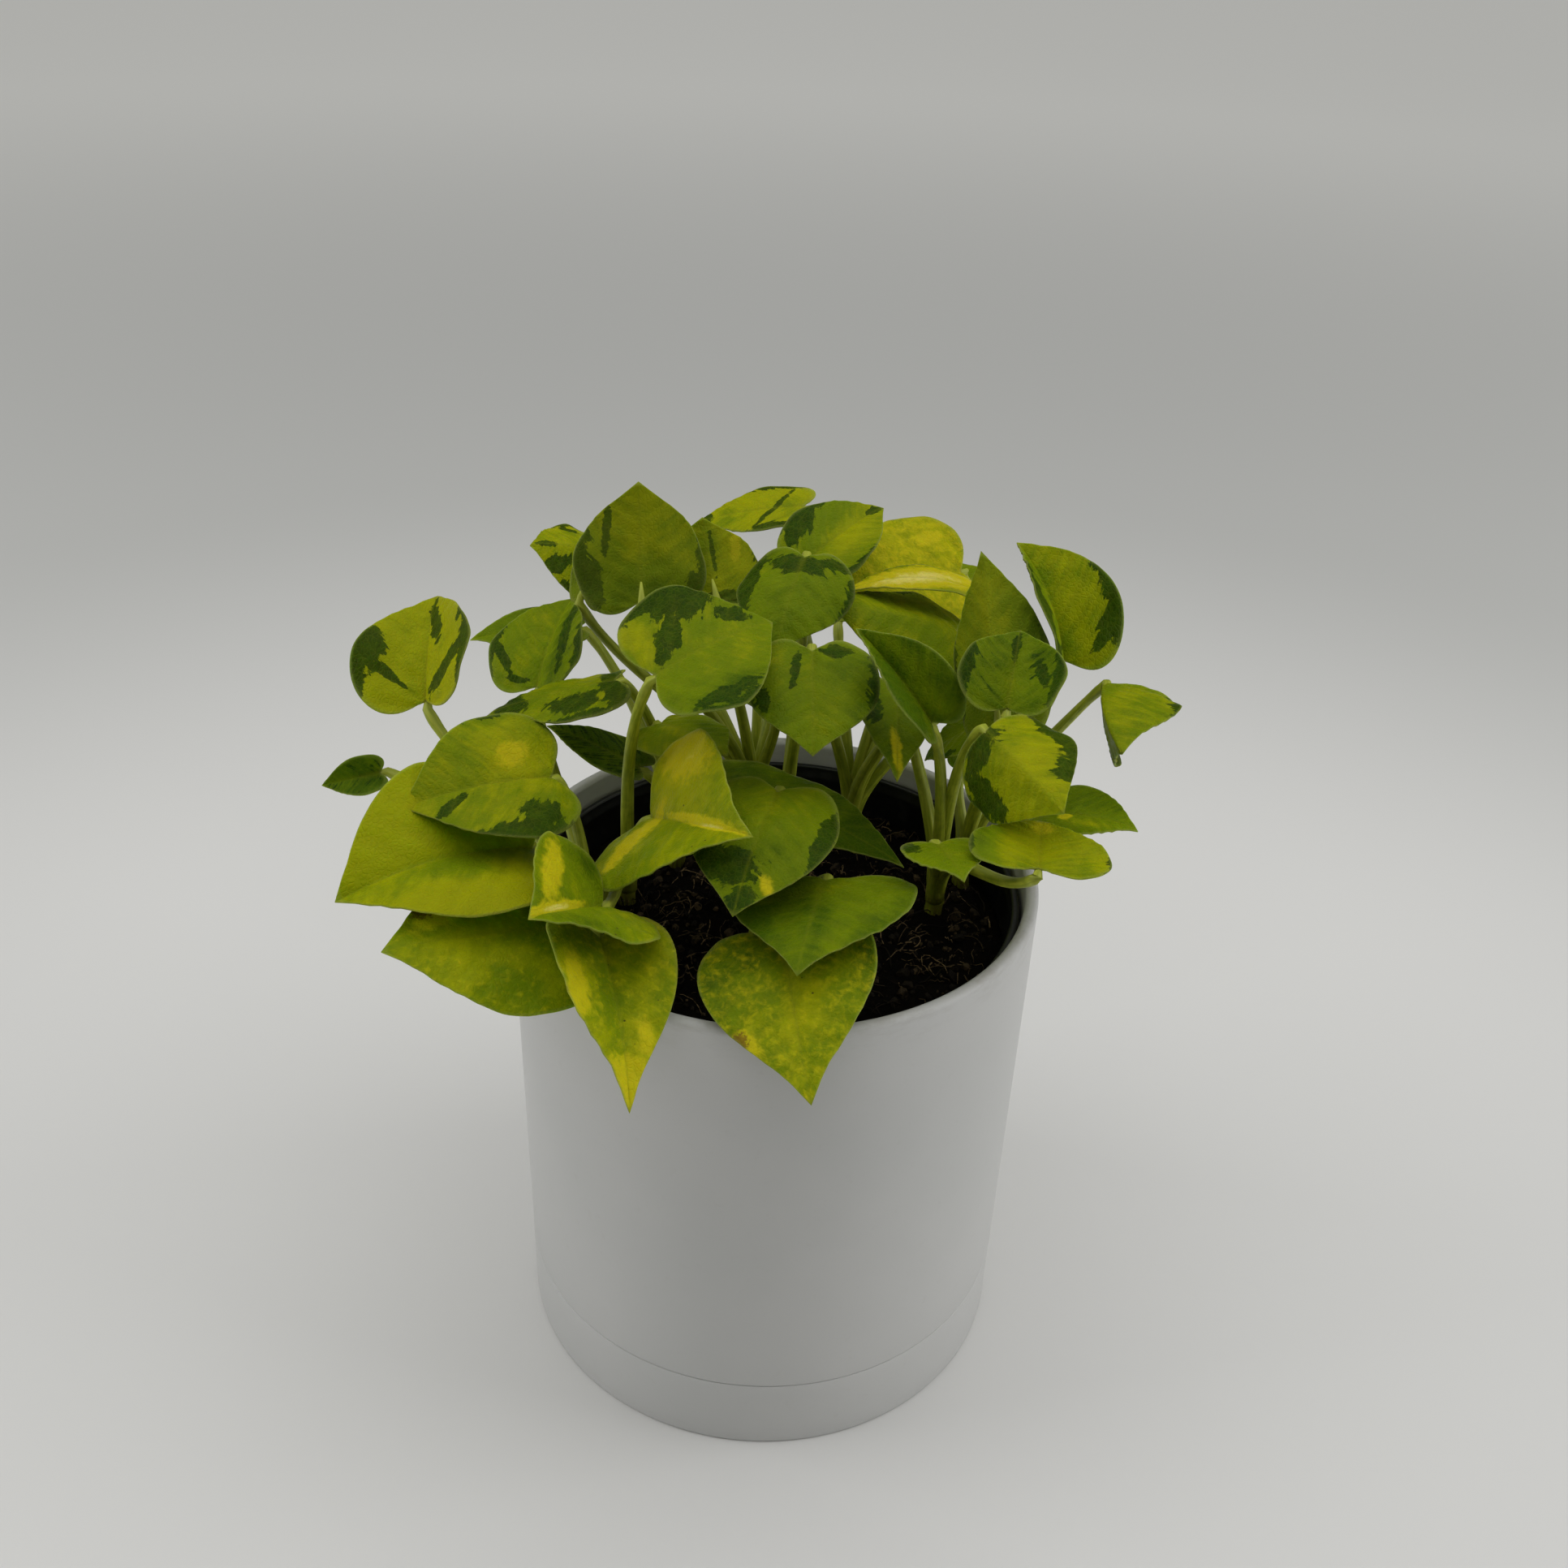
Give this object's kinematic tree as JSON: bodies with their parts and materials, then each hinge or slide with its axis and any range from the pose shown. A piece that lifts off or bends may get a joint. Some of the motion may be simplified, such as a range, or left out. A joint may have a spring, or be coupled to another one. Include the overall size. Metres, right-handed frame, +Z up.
{
  "type": "potted plant",
  "caption": "Trailing heart-leaved houseplant with variegated leaves in a round planter that stands in its own flush saucer.",
  "frame": {"origin": "centre of the saucer's flat underside, which rests on the surface", "axes": "+Z up, +Y towards the back of the plant as it is pictured, +X to the right"},
  "size_m": [0.2516, 0.2194, 0.2691],
  "materials": {
    "white_plastic": "smooth satin white",
    "black_plastic": "thin moulded black plastic, slightly glossy",
    "soil": "moist potting mix with light coir fibres",
    "stem": "smooth green stem",
    "leaf": "waxy leaf, yellow-green splashed with dark green"
  },
  "bodies": {
    "root": {"saucer": "white_plastic", "planter": "white_plastic", "nursery_pot": "black_plastic", "potting_mix": "soil", "vine_a": "stem", "leaf_a1": "leaf", "leaf_a2": "leaf", "leaf_a3": "leaf", "leaf_a4": "leaf", "vine_b": "stem", "leaf_b1": "leaf", "leaf_b2": "leaf", "leaf_b3": "leaf", "leaf_b4": "leaf", "leaf_b5": "leaf", "leaf_b6": "leaf", "vine_c": "stem", "leaf_c1": "leaf", "leaf_c2": "leaf", "leaf_c3": "leaf", "leaf_c4": "leaf", "vine_d": "stem", "leaf_d1": "leaf", "leaf_d2": "leaf", "leaf_d3": "leaf", "leaf_d4": "leaf", "leaf_d5": "leaf", "leaf_d6": "leaf", "leaf_d7": "leaf", "leaf_d8": "leaf", "vine_e": "stem", "leaf_e1": "leaf", "leaf_e2": "leaf", "leaf_e3": "leaf", "vine_f": "stem", "leaf_f1": "leaf", "leaf_f2": "leaf", "leaf_f3": "leaf", "vine_g": "stem", "leaf_g1": "leaf", "leaf_g2": "leaf", "leaf_g3": "leaf", "leaf_g4": "leaf", "leaf_g5": "leaf", "leaf_g6": "leaf", "vine_h": "stem", "leaf_h1": "leaf", "leaf_h2": "leaf", "leaf_h3": "leaf", "leaf_h4": "leaf", "leaf_h5": "leaf", "leaf_h6": "leaf", "vine_i": "stem", "leaf_i1": "leaf", "leaf_i2": "leaf", "leaf_i3": "leaf", "leaf_i4": "leaf", "leaf_i5": "leaf", "leaf_i6": "leaf", "leaf_i7": "leaf"}
  },
  "joints": []
}
